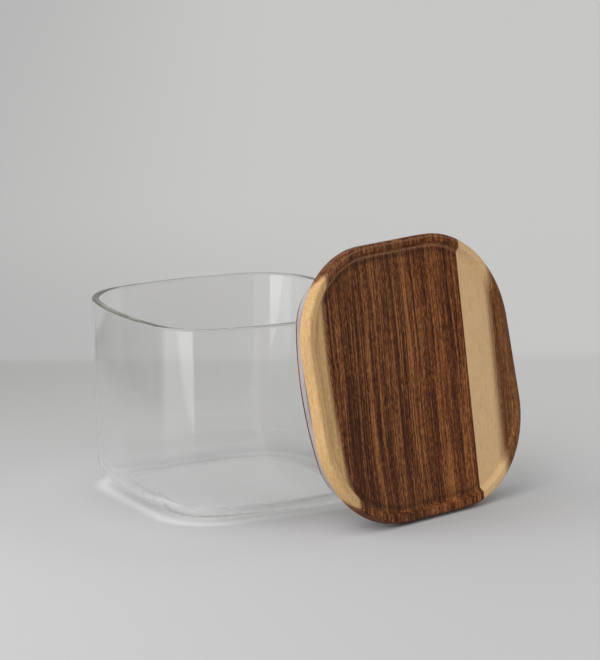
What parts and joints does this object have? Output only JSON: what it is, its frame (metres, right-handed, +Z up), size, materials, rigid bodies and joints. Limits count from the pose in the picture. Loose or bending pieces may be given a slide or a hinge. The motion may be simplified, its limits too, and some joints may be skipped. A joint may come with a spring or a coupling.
{
  "type": "glass storage jar with wooden lid",
  "caption": "Rounded square glass storage jar standing open, with its wooden plug lid taken off and leaning on the rim, silicone seal in the plug's groove.",
  "frame": {"origin": "middle of the jar's flat underside, on the table", "axes": "+Z up along the jar's axis; +X and +Y square to the jar's sides; the lid leans on the rim's -Y side, turned 17 degrees towards +X"},
  "size_m": [0.1473, 0.1354, 0.104],
  "materials": {
    "clear_glass": "clear, polished, flame-rounded rim",
    "dark_wood": "oiled acacia heartwood, satin",
    "pale_wood": "oiled acacia sapwood, satin",
    "silicone": "translucent grey silicone, smooth"
  },
  "bodies": {
    "jar": {"glass_jar": "clear_glass"},
    "lid": {"lid_stave_wide": "dark_wood", "lid_stave_narrow": "pale_wood", "lid_seal": "silicone"}
  },
  "joints": [
    {"name": "lid_lift", "type": "slide", "parent": "jar", "child": "lid", "axis": [0, 0, 1], "range_m": [0, 0.09]}
  ]
}
